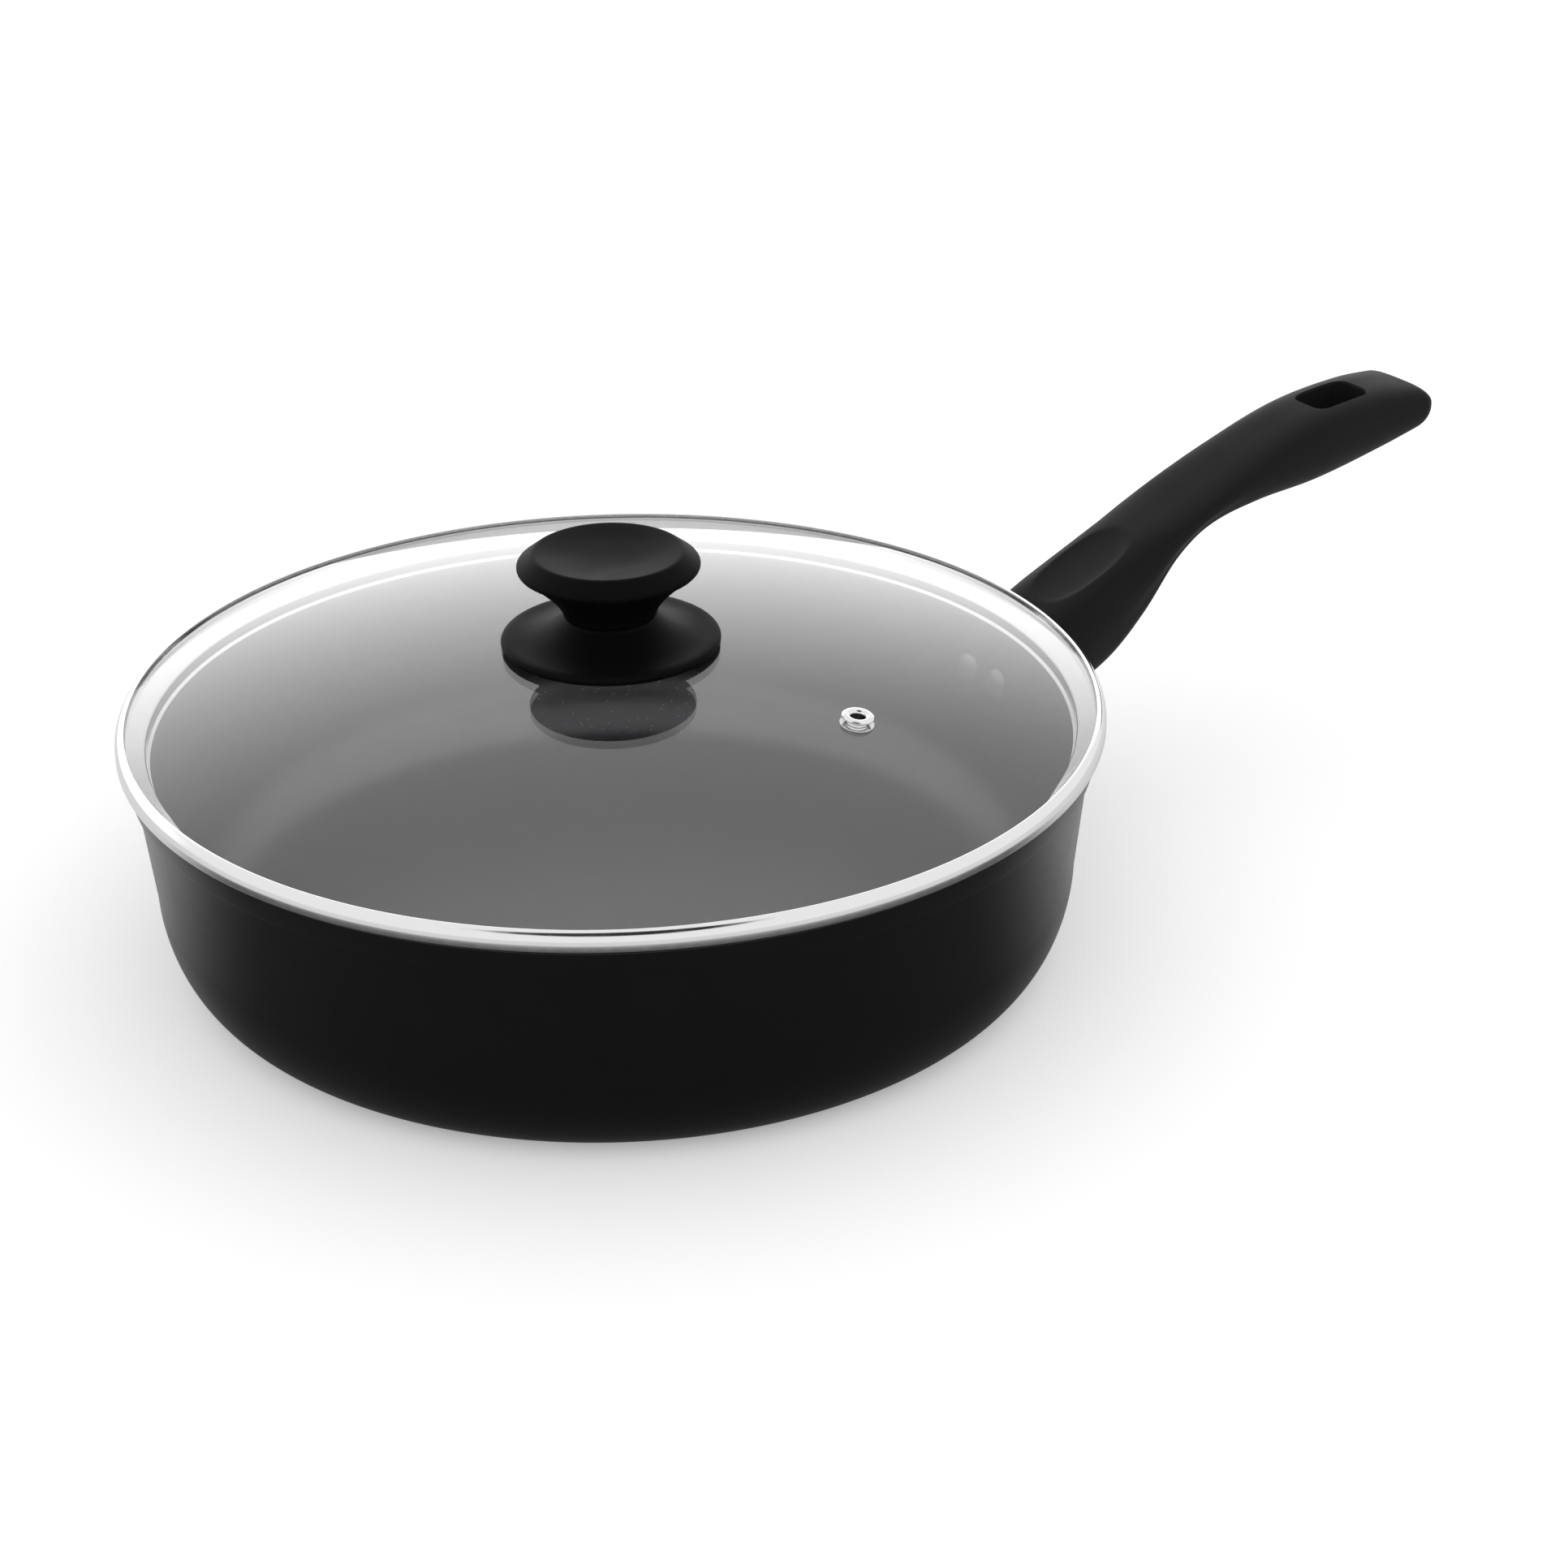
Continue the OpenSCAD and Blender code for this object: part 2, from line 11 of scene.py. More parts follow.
import bmesh
import bpy
import numpy as np
from mathutils import Matrix, Vector


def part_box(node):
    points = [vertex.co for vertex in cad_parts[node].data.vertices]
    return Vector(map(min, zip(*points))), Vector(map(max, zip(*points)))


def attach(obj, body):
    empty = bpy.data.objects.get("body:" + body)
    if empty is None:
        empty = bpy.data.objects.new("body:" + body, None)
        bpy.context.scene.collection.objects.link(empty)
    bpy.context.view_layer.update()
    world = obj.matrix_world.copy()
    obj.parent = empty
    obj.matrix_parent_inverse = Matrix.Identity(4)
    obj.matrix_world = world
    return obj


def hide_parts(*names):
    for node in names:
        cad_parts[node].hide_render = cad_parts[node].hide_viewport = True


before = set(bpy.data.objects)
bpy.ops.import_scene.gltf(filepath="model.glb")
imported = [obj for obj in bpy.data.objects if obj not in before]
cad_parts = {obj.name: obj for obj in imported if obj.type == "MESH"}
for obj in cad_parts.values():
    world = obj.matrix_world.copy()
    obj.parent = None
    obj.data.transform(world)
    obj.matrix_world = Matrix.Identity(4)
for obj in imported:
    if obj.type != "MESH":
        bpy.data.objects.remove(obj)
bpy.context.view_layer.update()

scene = bpy.context.scene
MM = 0.001
print("nodes:", sorted(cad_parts))

# %% [markdown]
# ## The camera
#
# The photograph was taken with a long lens from a little above the lid. A camera is fixed by where it stands and
# by the three directions of its frame. They are built here from a compass angle, a downward tilt and a small
# roll, which is easier to read than a matrix.

# %% Camera
CAMERA_AT = Vector((-0.4326, -0.7536, 0.4816))
CAMERA_AZIMUTH = math.radians(33.166)
CAMERA_DOWN = math.radians(26.627)
CAMERA_ROLL = math.radians(-0.521)
LENS_MM = 74.53
SENSOR_MM = 36.0


def aimed(azimuth, down, roll):
    """Rotation whose -Z looks along a compass angle from +Y towards +X, tilted down, then rolled about that line."""
    look = Vector((math.sin(azimuth) * math.cos(down), math.cos(azimuth) * math.cos(down), -math.sin(down)))
    level = look.cross(Vector((0, 0, 1))).normalized()
    upright = level.cross(look)
    right = math.cos(roll) * level + math.sin(roll) * upright
    up = math.cos(roll) * upright - math.sin(roll) * level
    return Matrix((right, up, -look)).transposed().to_4x4()


camera_data = bpy.data.cameras.new("camera")
camera_data.lens = LENS_MM
camera_data.sensor_width = SENSOR_MM
camera_data.clip_start = 0.01
camera = bpy.data.objects.new("camera", camera_data)
camera.matrix_world = Matrix.Translation(CAMERA_AT) @ aimed(CAMERA_AZIMUTH, CAMERA_DOWN, CAMERA_ROLL)
scene.collection.objects.link(camera)
scene.camera = camera
print("camera is", round(CAMERA_AT.length, 3), "m from the pan's base")

# %% [markdown]
# ## Outlines and turned shapes
#
# A pan, a lid and a knob are all turned or spun round one axis, so each is an outline carried round a circle.
# The outline is a short list of corners. Real edges are never quite sharp, so each corner is cut a little way
# back along both sides and bridged with a small curve, which also catches the light.


# %% Outline helpers
def arc(center, radii, start, end, count):
    """Points on an ellipse: center + (rx cos a, rz sin a), for count angles a in degrees from start to end."""
    a = np.radians(np.linspace(start, end, count))
    return np.stack([center[0] + radii[0] * np.cos(a), center[1] + radii[1] * np.sin(a)], -1)


def eased(corners, cut, count=5, closed=True):
    """Corners bridged with curves: at corner V, the points (1-t)^2 A + 2t(1-t) V + t^2 B, where A and B lie cut
    away from V along its two sides, and never past 45 percent of a side."""
    v = np.asarray(corners, float)
    cut = np.broadcast_to(np.asarray(cut, float), len(v))
    before, after = np.roll(v, 1, 0) - v, np.roll(v, -1, 0) - v
    near, far = np.linalg.norm(before, axis=1), np.linalg.norm(after, axis=1)
    back = np.minimum(cut, 0.45 * np.minimum(near, far))
    if not closed:
        back[[0, -1]] = 0
    a = v + before / near[:, None] * back[:, None]
    b = v + after / far[:, None] * back[:, None]
    t = np.linspace(0, 1, count)[None, :, None]
    curve = (1 - t) ** 2 * a[:, None] + 2 * t * (1 - t) * v[:, None] + t ** 2 * b[:, None]
    keep = np.ones((len(v), count), bool)
    keep[back == 0, 1:] = False
    return curve[keep]


def finished_mesh(name, points, quads, sharp=35):
    """Mesh from points and four-sided faces. Points that meet are merged, normals are turned outwards, and edges
    sharper than the given angle in degrees stay crisp."""
    mesh = bpy.data.meshes.new(name)
    mesh.from_pydata(points.reshape(-1, 3), [], quads.reshape(-1, 4))
    work = bmesh.new()
    work.from_mesh(mesh)
    bmesh.ops.remove_doubles(work, verts=work.verts, dist=1e-7)
    bmesh.ops.recalc_face_normals(work, faces=work.faces)
    work.to_mesh(mesh)
    work.free()
    mesh.polygons.foreach_set("use_smooth", np.ones(len(mesh.polygons), bool))
    mesh.set_sharp_from_angle(angle=math.radians(sharp))
    piece = bpy.data.objects.new(name, mesh)
    scene.collection.objects.link(piece)
    return piece


def turned(name, outline, around=256, closed=True, sharp=35):
    """Surface of revolution: (r cos t, r sin t, z) for each outline point (r, z), in millimetres, and each angle t."""
    r, z = np.asarray(outline, float).T * MM
    t = np.linspace(0, 2 * np.pi, around, endpoint=False)
    points = np.stack([np.outer(r, np.cos(t)), np.outer(r, np.sin(t)), np.outer(z, np.ones(around))], -1)
    rows = len(r) if closed else len(r) - 1
    i = np.arange(rows)[:, None]
    j = np.arange(around)[None, :]
    here, there = i * around, (i + 1) % len(r) * around
    side = (j + 1) % around
    quads = np.stack([here + j, here + side, there + side, there + j], -1)
    return finished_mesh(name, points, quads, sharp)


# %% [markdown]
# ## Colour and nodes
#
# Colours are written as the hex values that a designer would pick on screen, and turned to the linear values
# that a renderer adds and multiplies. One small function adds a node with its settings and its links.

# %% Colour and node helpers
def linear(hex_code):
    """Linear colour from an sRGB hex value: c/12.92 below 0.04045, else ((c + 0.055)/1.055)^2.4."""
    c = np.array([int(hex_code[i:i + 2], 16) for i in (1, 3, 5)]) / 255
    c = np.where(c <= 0.04045, c / 12.92, ((c + 0.055) / 1.055) ** 2.4)
    return (*c.tolist(), 1.0)


def add(tree, kind, values=None, links=None, **settings):
    """Adds a node of that kind, sets its plain settings and socket values, and links its sockets."""
    node = tree.nodes.new(kind)
    for key, value in settings.items():
        setattr(node, key, value)
    for key, value in (values or {}).items():
        node.inputs[key].default_value = value
    for key, socket in (links or {}).items():
        tree.links.new(socket, node.inputs[key])
    return node


def new_material(name, values):
    """Material with one Principled shader, and the object's own coordinates to hang patterns on."""
    material = bpy.data.materials.new(name)
    material.use_nodes = True
    tree = material.node_tree
    tree.nodes.clear()
    shader = add(tree, "ShaderNodeBsdfPrincipled", values)
    add(tree, "ShaderNodeOutputMaterial", links={"Surface": shader.outputs[0]})
    place = add(tree, "ShaderNodeTexCoord").outputs["Object"]
    return material, tree, shader, place


def grain(tree, place, size_mm, detail=3.0):
    """Noise whose lumps are about size_mm across, as a 0 to 1 value."""
    return add(tree, "ShaderNodeTexNoise", {"Scale": 1 / (size_mm * MM), "Detail": detail}, {"Vector": place}).outputs[0]


def spread(tree, value, low, high, source_low=0.3, source_high=0.7):
    """Maps a value from one range to another."""
    return add(tree, "ShaderNodeMapRange",
               {"From Min": source_low, "From Max": source_high, "To Min": low, "To Max": high},
               {"Value": value}).outputs[0]


def bumped(tree, shader, height, depth_mm, strength=1.0):
    """Feeds the shader a normal bent by a height map of that depth."""
    bump = add(tree, "ShaderNodeBump", {"Strength": strength, "Distance": depth_mm * MM}, {"Height": height})
    tree.links.new(bump.outputs[0], shader.inputs["Normal"])


# %% [markdown]
# ## Coated aluminium
#
# The shell is pressed from aluminium and sprayed twice. Outside is a satin black heat-proof enamel: droplets dry
# to a very fine orange peel about 0.4 mm across, so reflections are soft, and at a glancing angle they turn
# bright. Inside is a grey-black non-stick coat, full of metal flakes. Most are too fine to see and make it
# partly metallic. The few larger ones sparkle, and are drawn 0.9 mm apart so that they show.

# %% Outside and inside coats
outside_coat, tree, shader, place = new_material("satin_black_enamel", {
    "Base Color": linear("#070708"), "Roughness": 0.27, "IOR": 1.5, "Specular IOR Level": 0.45})
peel = grain(tree, place, 0.4)
cloud = grain(tree, place, 28, 4.0)
tree.links.new(spread(tree, cloud, 0.24, 0.30), shader.inputs["Roughness"])
bumped(tree, shader, peel, 0.006, 0.6)

nonstick_coat, tree, shader, place = new_material("flaked_nonstick_coat", {
    "Base Color": linear("#5c5c5e"), "Metallic": 0.8, "Roughness": 0.32, "IOR": 1.5})
flake = add(tree, "ShaderNodeTexVoronoi", {"Scale": 1 / (0.9 * MM)}, {"Vector": place}, feature="F1")
glint = add(tree, "ShaderNodeMapRange", {"From Min": 0.10, "From Max": 0.22, "To Min": 1.0, "To Max": 0.0},
            {"Value": flake.outputs["Distance"]}).outputs[0]
rare = add(tree, "ShaderNodeSeparateColor", links={0: flake.outputs["Color"]}).outputs[0]
picked = add(tree, "ShaderNodeMath", {1: 0.86}, {0: rare}, operation="GREATER_THAN").outputs[0]
spark = add(tree, "ShaderNodeMath", links={0: glint, 1: picked}, operation="MULTIPLY").outputs[0]
flaked = add(tree, "ShaderNodeMix", {6: linear("#5a5a5c"), 7: linear("#b4b4b8")}, {0: spark}, data_type="RGBA")
tree.links.new(flaked.outputs[2], shader.inputs["Base Color"])
tree.links.new(spread(tree, grain(tree, place, 22, 4.0), 0.30, 0.36), shader.inputs["Roughness"])
bumped(tree, shader, grain(tree, place, 0.8), 0.003, 0.5)

# %% [markdown]
# ## Soft-touch black
#
# The handle and the knob are moulded in phenolic and sprayed with one rubbery lacquer. It scatters light almost
# evenly, so it looks matt, with a faint bloom at a glancing angle and a grain of about 0.3 mm. The handle's copy
# is painted paler than the knob's: a painted sheen that stands in for the light on the handle's near side.


# %% Soft-touch lacquers
def lacquer(name, hex_code, specular):
    """Matt black lacquer of that colour, with slow clouds in its roughness and a fine raised grain."""
    material, tree, shader, place = new_material(name, {
        "Base Color": linear(hex_code), "Roughness": 0.5, "IOR": 1.5, "Specular IOR Level": specular})
    tree.links.new(spread(tree, grain(tree, place, 14, 4.0), 0.46, 0.54), shader.inputs["Roughness"])
    bumped(tree, shader, grain(tree, place, 0.3), 0.012, 0.6)
    return material


# The handle's colour is painted paler than the knob's, the same lacquer shown lit brighter: painted sheen.
handle_lacquer_painted_paler = lacquer("handle_lacquer_painted_sheen", "#1c1c1d", 0.06)
knob_lacquer = lacquer("knob_soft_touch_lacquer", "#0b0b0c", 0.035)

# %% [markdown]
# ## Steel, brass, silicone and glass
#
# The lid's band and vent are polished stainless steel. Rollers leave faint scratches round the band, finer than
# 0.2 mm; here they are drawn only as patches of roughness and a fine bump, the same in every direction. The glass
# is tempered soda-lime glass, IOR 1.5, with real thickness, so both of its faces mirror the room.

# %% Metals, silicone and glass
stainless, tree, shader, place = new_material("polished_stainless", {
    "Base Color": linear("#e6e6e7"), "Metallic": 1.0, "Roughness": 0.12})
tree.links.new(spread(tree, grain(tree, place, 3.0), 0.09, 0.17), shader.inputs["Roughness"])
bumped(tree, shader, grain(tree, place, 0.8), 0.002, 0.3)

zinc, tree, shader, place = new_material("zinc_plated_steel", {
    "Base Color": linear("#c4c6c8"), "Metallic": 1.0, "Roughness": 0.32})
tree.links.new(spread(tree, grain(tree, place, 0.9), 0.26, 0.40), shader.inputs["Roughness"])

# The rivets wear the same coat as the inner wall, but are painted much lighter: a painted highlight that stands in for
# the light on their domes.
rivet_coat_painted_lighter, tree, shader, place = new_material("coated_rivet_painted_highlight", {
    "Base Color": linear("#8e8e90"), "Metallic": 0.6, "Roughness": 0.38, "IOR": 1.45})
tree.links.new(spread(tree, grain(tree, place, 1.2), 0.32, 0.44), shader.inputs["Roughness"])
bumped(tree, shader, grain(tree, place, 0.5), 0.008, 0.5)

brass, tree, shader, place = new_material("turned_brass", {
    "Base Color": linear("#d8b968"), "Metallic": 1.0, "Roughness": 0.3})
tree.links.new(spread(tree, grain(tree, place, 0.6), 0.24, 0.38), shader.inputs["Roughness"])

silicone, tree, shader, place = new_material("silicone_rubber", {
    "Base Color": linear("#d9d8d2"), "Roughness": 0.6, "IOR": 1.41})
tree.links.new(spread(tree, grain(tree, place, 1.0), 0.54, 0.68), shader.inputs["Roughness"])

glass, tree, shader, place = new_material("tempered_glass", {
    "Base Color": linear("#fafafa"), "Roughness": 0.0, "IOR": 1.5, "Transmission Weight": 1.0})
tree.links.new(spread(tree, grain(tree, place, 60, 2.0), 0.0, 0.006), shader.inputs["Roughness"])
print("materials:", [m.name for m in bpy.data.materials])

# %% [markdown]
# ## The pan
#
# The shell is drawn from one disc. Its wall leans out by 5.8 degrees, a step carries the flared band at the lip,
# and the corner to the base is an ellipse, taller than it is wide. The underside has shallow turned rings. The
# lip slopes inwards, because the lid's band sits on it.

# %% Pan outline
pan_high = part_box("pan_body")[1]
LIP_OUT = pan_high.x / MM
PAN_H = pan_high.z / MM
LIP_IN = LIP_OUT - 3.3
WALL_T = 2.8
FLOOR_T = 4.0
STEP_Z = PAN_H - 7.8
BAND_LOW = LIP_OUT - 1.4
WALL_TOP = BAND_LOW - 1.4
DRAFT = math.tan(math.radians(5.8))
SEAT_SLOPE = math.tan(math.radians(18.2))
CORNER_W, CORNER_H = 17.0, 28.5
INNER_W = 21.0
RINGS = 7
RING_PITCH, RING_FIRST, RING_WIDE, RING_DEEP = 12.0, 24.0, 1.6, 0.4


def wall_radius(z):
    """Outer radius of the wall at height z, in millimetres: the radius at the step less the draft."""
    return WALL_TOP - (STEP_Z - z) * DRAFT


corner_x = wall_radius(CORNER_H) - CORNER_W
inner_x = wall_radius(CORNER_H) - WALL_T - INNER_W
ring_r = RING_FIRST + RING_PITCH * np.arange(RINGS)
groove = np.stack([np.stack([ring_r + side * RING_WIDE / 2, RING_DEEP * (1 - abs(side)) + 0 * ring_r], -1)
                   for side in (-1, 0, 1)], 1).reshape(-1, 2)
outer_corner = arc((corner_x, CORNER_H), (CORNER_W, CORNER_H), -90, 0, 28)
inner_corner = arc((inner_x, CORNER_H), (INNER_W, CORNER_H - FLOOR_T), 0, -90, 24)
lip_in_z = PAN_H - (LIP_OUT - LIP_IN) * SEAT_SLOPE
upper = eased([outer_corner[-1], [WALL_TOP, STEP_Z - 0.1], [WALL_TOP + 0.25, STEP_Z], [BAND_LOW, STEP_Z + 0.25],
               [LIP_OUT, PAN_H], [LIP_IN, lip_in_z], [WALL_TOP - WALL_T, STEP_Z + 1.0], inner_corner[0]],
              [0, 0.2, 0.2, 0.4, 0.5, 0.6, 3.0, 0], 6, closed=False)
pan_outline = np.concatenate([[[0, 0]], groove, outer_corner, upper[1:-1], inner_corner, [[0, FLOOR_T]]])
pan = turned("pan_shell", pan_outline, 320, closed=False, sharp=28)

mesh = pan.data
mesh.materials.append(outside_coat)
mesh.materials.append(nonstick_coat)
center = np.zeros(len(mesh.polygons) * 3)
mesh.polygons.foreach_get("center", center)
center = center.reshape(-1, 3) / MM
radius = np.hypot(center[:, 0], center[:, 1])
normal = np.zeros(len(mesh.polygons) * 3)
mesh.polygons.foreach_get("normal", normal)
normal = normal.reshape(-1, 3)
outward = (normal[:, :2] * center[:, :2]).sum(1) / np.maximum(radius, 1e-6)
inside = (center[:, 2] > FLOOR_T / 2) & ((outward < 0) | (normal[:, 2] > 0.5)) & (radius < LIP_OUT - 0.8)
mesh.polygons.foreach_set("material_index", inside.astype(np.int32))
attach(pan, "pan")
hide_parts("pan_body")
print("pan:", len(mesh.polygons), "faces,", int(inside.sum()), "inside")

# %% [markdown]
# ## The handle
#
# The handle grows out of the wall, climbs past the lid and ends in a flat grip. Its section is a rounded box
# whose widest line lies above its middle, so the top looks flat and the sides curl under. Heights along the
# handle come from a few points with a smooth curve between them, and the thumb rest is a shallow oval dent. A
# soft valley runs along each side, under the ridge, where the fingers close.

# %% Handle surface
BRACKET_Z = 46.0
ROOT = wall_radius(BRACKET_Z)
HANDLE_L = 173.0
HANDLE_W, ROOT_EXTRA = 32.0, 6.0
TOP = np.array([[0, 11], [0.1, 22.1], [0.25, 34.6], [0.405, 45.2], [0.56, 56.4], [0.72, 65.4], [0.88, 68.2], [1, 66.8]])
LOW = np.array([[0, -13.5], [0.12, -10], [0.225, -2.6], [0.3, 9.6], [0.373, 27], [0.445, 36], [0.566, 39.6],
                [0.728, 41.2], [0.89, 46.6], [1, 52]])
WIDE = np.array([[0, 1], [0.12, 0.85], [0.28, 0.45], [0.42, 0.12], [0.56, 0], [0.72, 0.02], [1, 0]])
RIDGE = 0.36
TIP = 5.5
THUMB_X, THUMB_L, THUMB_W, THUMB_DEEP = ROOT + 35.6, 34.0, 20.5, 1.8
VALLEY_DEEP, VALLEY_FROM, VALLEY_TO = 1.1, 0.06, 0.66
VALLEY_UP, VALLEY_TALL = 0.42, 0.16
WALL_GAP = 0.32


def smooth(points, u):
    """Cubic through the points, whose slope at each one is that of the line joining its two neighbours."""
    x, y = points.T
    lower, upper = np.maximum(np.arange(len(x)) - 1, 0), np.minimum(np.arange(len(x)) + 1, len(x) - 1)
    slope = (y[upper] - y[lower]) / (x[upper] - x[lower])
    i = np.clip(np.searchsorted(x, u, "right") - 1, 0, len(x) - 2)
    w = x[i + 1] - x[i]
    t = (u - x[i]) / w
    return (y[i] * (1 + 2 * t) * (1 - t) ** 2 + y[i + 1] * t * t * (3 - 2 * t)
            + slope[i] * w * t * (1 - t) ** 2 - slope[i + 1] * w * t * t * (1 - t))


def power(value, exponent):
    """Power that keeps the sign."""
    return np.sign(value) * np.abs(value) ** exponent


def handle_points(u, inset, around=144):
    """Rings of the handle. Across: (w cos a, ridge + h sin a), with sine and cosine raised to powers below 1, which
    squares the section off. Along: u runs from the wall to the tip. inset shrinks the last rings to a quarter
    circle. The thumb rest lowers the top, and the valley draws y in by a bell curve of the height."""
    a = np.linspace(0, 2 * np.pi, around, endpoint=False)[None, :]
    high = (BRACKET_Z + smooth(TOP, u) - inset)[:, None]
    low = (BRACKET_Z + smooth(LOW, u) + inset)[:, None]
    half = ((HANDLE_W + ROOT_EXTRA * smooth(WIDE, u)) / 2 - inset)[:, None]
    ridge = high - (high - low) * RIDGE
    up = np.sin(a) >= 0
    y = half * power(np.cos(a), np.where(up, 0.62, 0.8))
    z = ridge + np.where(up, high - ridge, ridge - low) * power(np.sin(a), np.where(up, 0.62, 0.9))
    x = (ROOT + u * HANDLE_L)[:, None] + 0 * a
    dent = 1 - np.abs((x - THUMB_X) / (THUMB_L / 2)) ** 2.5 - np.abs(y / (THUMB_W / 2)) ** 2.5
    z = z - np.where(up, THUMB_DEEP * np.clip(dent, 0, None) ** 0.75, 0)
    reach = np.clip((u[:, None] - VALLEY_FROM) / (VALLEY_TO - VALLEY_FROM), 0, 1)
    share = (z - low) / (high - low)
    y = y - np.sign(y) * VALLEY_DEEP * np.sin(np.pi * reach) ** 2 * np.exp(-((share - VALLEY_UP) / VALLEY_TALL) ** 2)
    wall_x = np.sqrt((wall_radius(z) + WALL_GAP) ** 2 - y ** 2)
    x = x + (wall_x - ROOT) * np.clip(1 - u[:, None] * HANDLE_L / 24, 0, 1)
    return np.stack([x, y, z], -1)


turn = np.radians(np.linspace(0, 90, 12))[1:]
along = np.concatenate([np.linspace(0, 1 - TIP / HANDLE_L, 150), 1 - TIP / HANDLE_L * (1 - np.sin(turn))])
inset = np.concatenate([np.zeros(150), TIP * (1 - np.cos(turn)) * 0.98])
rings = handle_points(along, inset)
first, last = rings[:1].mean(1, keepdims=True), rings[-1:].mean(1, keepdims=True)
first = np.broadcast_to(first, rings[:1].shape)
last = np.broadcast_to(last, rings[-1:].shape)
rings = np.concatenate([first, rings, last]) * MM
rows, around = rings.shape[:2]
i, j = np.arange(rows - 1)[:, None], np.arange(around)[None, :]
side = (j + 1) % around
quads = np.stack([i * around + j, i * around + side, (i + 1) * around + side, (i + 1) * around + j], -1)
handle = finished_mesh("handle_moulding", rings, quads, 50)

# %% [markdown]
# The hanging hole is moulded through the grip, with a softly rounded mouth. It is cut here with a plug whose
# section is a rounded rectangle that flares out, along a quarter circle, where it meets the top face. The screw's
# bore and the socket for the bracket are cut from the same body.

# %% Hanging hole, screw bore and bracket socket
HANG_L, HANG_W, HANG_R = 21.5, 15.0, 4.0
HANG_X = ROOT + HANDLE_L - 34.0
HANG_Z = BRACKET_Z + float(smooth(TOP, np.array([1 - 34.0 / HANDLE_L]))[0])
HANG_TILT = math.radians(5)
MOUTH = 1.3
SCREW_X = ROOT + 27.0
SCREW_SEAT = BRACKET_Z + 3 - 3.4


def cut(piece, cutter):
    """Takes the cutter's volume out of the piece, and removes the cutter."""
    modifier = piece.modifiers.new("cut", "BOOLEAN")
    modifier.operation, modifier.solver, modifier.object = "DIFFERENCE", "EXACT", cutter
    bpy.context.view_layer.update()
    done = bpy.data.meshes.new_from_object(piece.evaluated_get(bpy.context.evaluated_depsgraph_get()))
    piece.modifiers.clear()
    piece.data = done
    bpy.data.objects.remove(cutter)


def slot_plug(name, length, width, corner, levels, grow):
    """Stack of rounded rectangles: at each level, the rectangle grown by that much, its corners with it."""
    a = np.radians(np.arange(0, 360, 7.5) + 3.75)
    cx, cy = np.sign(np.cos(a)) * (length / 2 - corner), np.sign(np.sin(a)) * (width / 2 - corner)
    grow = np.asarray(grow, float)[:, None]
    x = cx + (corner + grow) * np.cos(a)
    y = cy + (corner + grow) * np.sin(a)
    z = np.asarray(levels, float)[:, None] + 0 * x
    points = np.stack([x, y, z], -1)
    points = np.concatenate([0 * points[:1] + points[:1].mean(1, keepdims=True), points,
                             0 * points[-1:] + points[-1:].mean(1, keepdims=True)]) * MM
    m, n = points.shape[:2]
    i, j = np.arange(m - 1)[:, None], np.arange(n)[None, :]
    k = (j + 1) % n
    return finished_mesh(name, points, np.stack([i * n + j, i * n + k, (i + 1) * n + k, (i + 1) * n + j], -1))


mouth = np.linspace(0, 90, 7)
levels = np.concatenate([[-60], -MOUTH + MOUTH * np.sin(np.radians(mouth)), [6]])
grow = np.concatenate([[0], MOUTH * (1 - np.cos(np.radians(mouth))), [MOUTH]])
plug = slot_plug("plug", HANG_L, HANG_W, HANG_R, levels, grow)
plug.data.transform(Matrix.Translation((HANG_X * MM, 0, HANG_Z * MM)) @ Matrix.Rotation(-HANG_TILT, 4, "Y"))
cut(handle, plug)
bore = turned("bore", [[0, 20], [4.95, 20], [4.95, SCREW_SEAT], [2.7, SCREW_SEAT], [2.7, SCREW_SEAT + 8.6],
                       [0, SCREW_SEAT + 8.6]], 48, closed=False)
bore.data.transform(Matrix.Translation((SCREW_X * MM, 0, 0)))
cut(handle, bore)


def block(low, high):
    """Plain box between two corners, in millimetres, used only as a cutter."""
    low, high = np.array(low) * MM, np.array(high) * MM
    corner = np.stack(np.meshgrid([0, 1], [0, 1], [0, 1], indexing="ij"), -1).reshape(-1, 3)
    quads = np.array([[0, 1, 3, 2], [4, 6, 7, 5], [0, 4, 5, 1], [2, 3, 7, 6], [0, 2, 6, 4], [1, 5, 7, 3]])
    return finished_mesh("block", low + corner * (high - low), quads)


cut(handle, block([ROOT - 12, -14.8, BRACKET_Z - 10.3], [ROOT + 4.2, 14.8, BRACKET_Z + 10.3]))
cut(handle, block([ROOT - 12, -9.3, BRACKET_Z + 2.7], [ROOT + 36.3, 9.3, BRACKET_Z + 6.3]))
handle.data.polygons.foreach_set("use_smooth", np.ones(len(handle.data.polygons), bool))
handle.data.set_sharp_from_angle(angle=math.radians(38))
handle.data.materials.clear()
handle.data.materials.append(handle_lacquer_painted_paler)
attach(handle, "pan")
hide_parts("handle_grip")
print("handle:", len(handle.data.polygons), "faces, hole at", round(HANG_X, 1), round(HANG_Z, 1), "mm")

# %% [markdown]
# ## The rivets
#
# Two rivets hold the bracket, and their domed heads show on the inner wall. Each is turned about its own axis,
# which stands square to the leaning wall, and then placed.

# %% Rivets
RIVET_AZ = math.asin(7.7 / ROOT)
RIVET_IN = -WALL_T - 0.12
rivet_outline = eased([[0, RIVET_IN - 2.2], *arc((0, RIVET_IN), (4.7, 2.2), -88, 0, 14), [2.5, RIVET_IN],
                       [2.5, 2.24], [4.0, 2.24], [4.0, 3.54], [0, 3.54]], 0.25, 4, closed=False)


def at_rivet(side):
    """Place of a rivet: out along its own direction to the wall, with +Z turned to the wall's outward normal."""
    return (Matrix.Rotation(side * RIVET_AZ, 4, "Z") @ Matrix.Translation((ROOT * MM, 0, BRACKET_Z * MM))
            @ Matrix.Rotation(math.pi / 2 + math.atan(DRAFT), 4, "Y"))


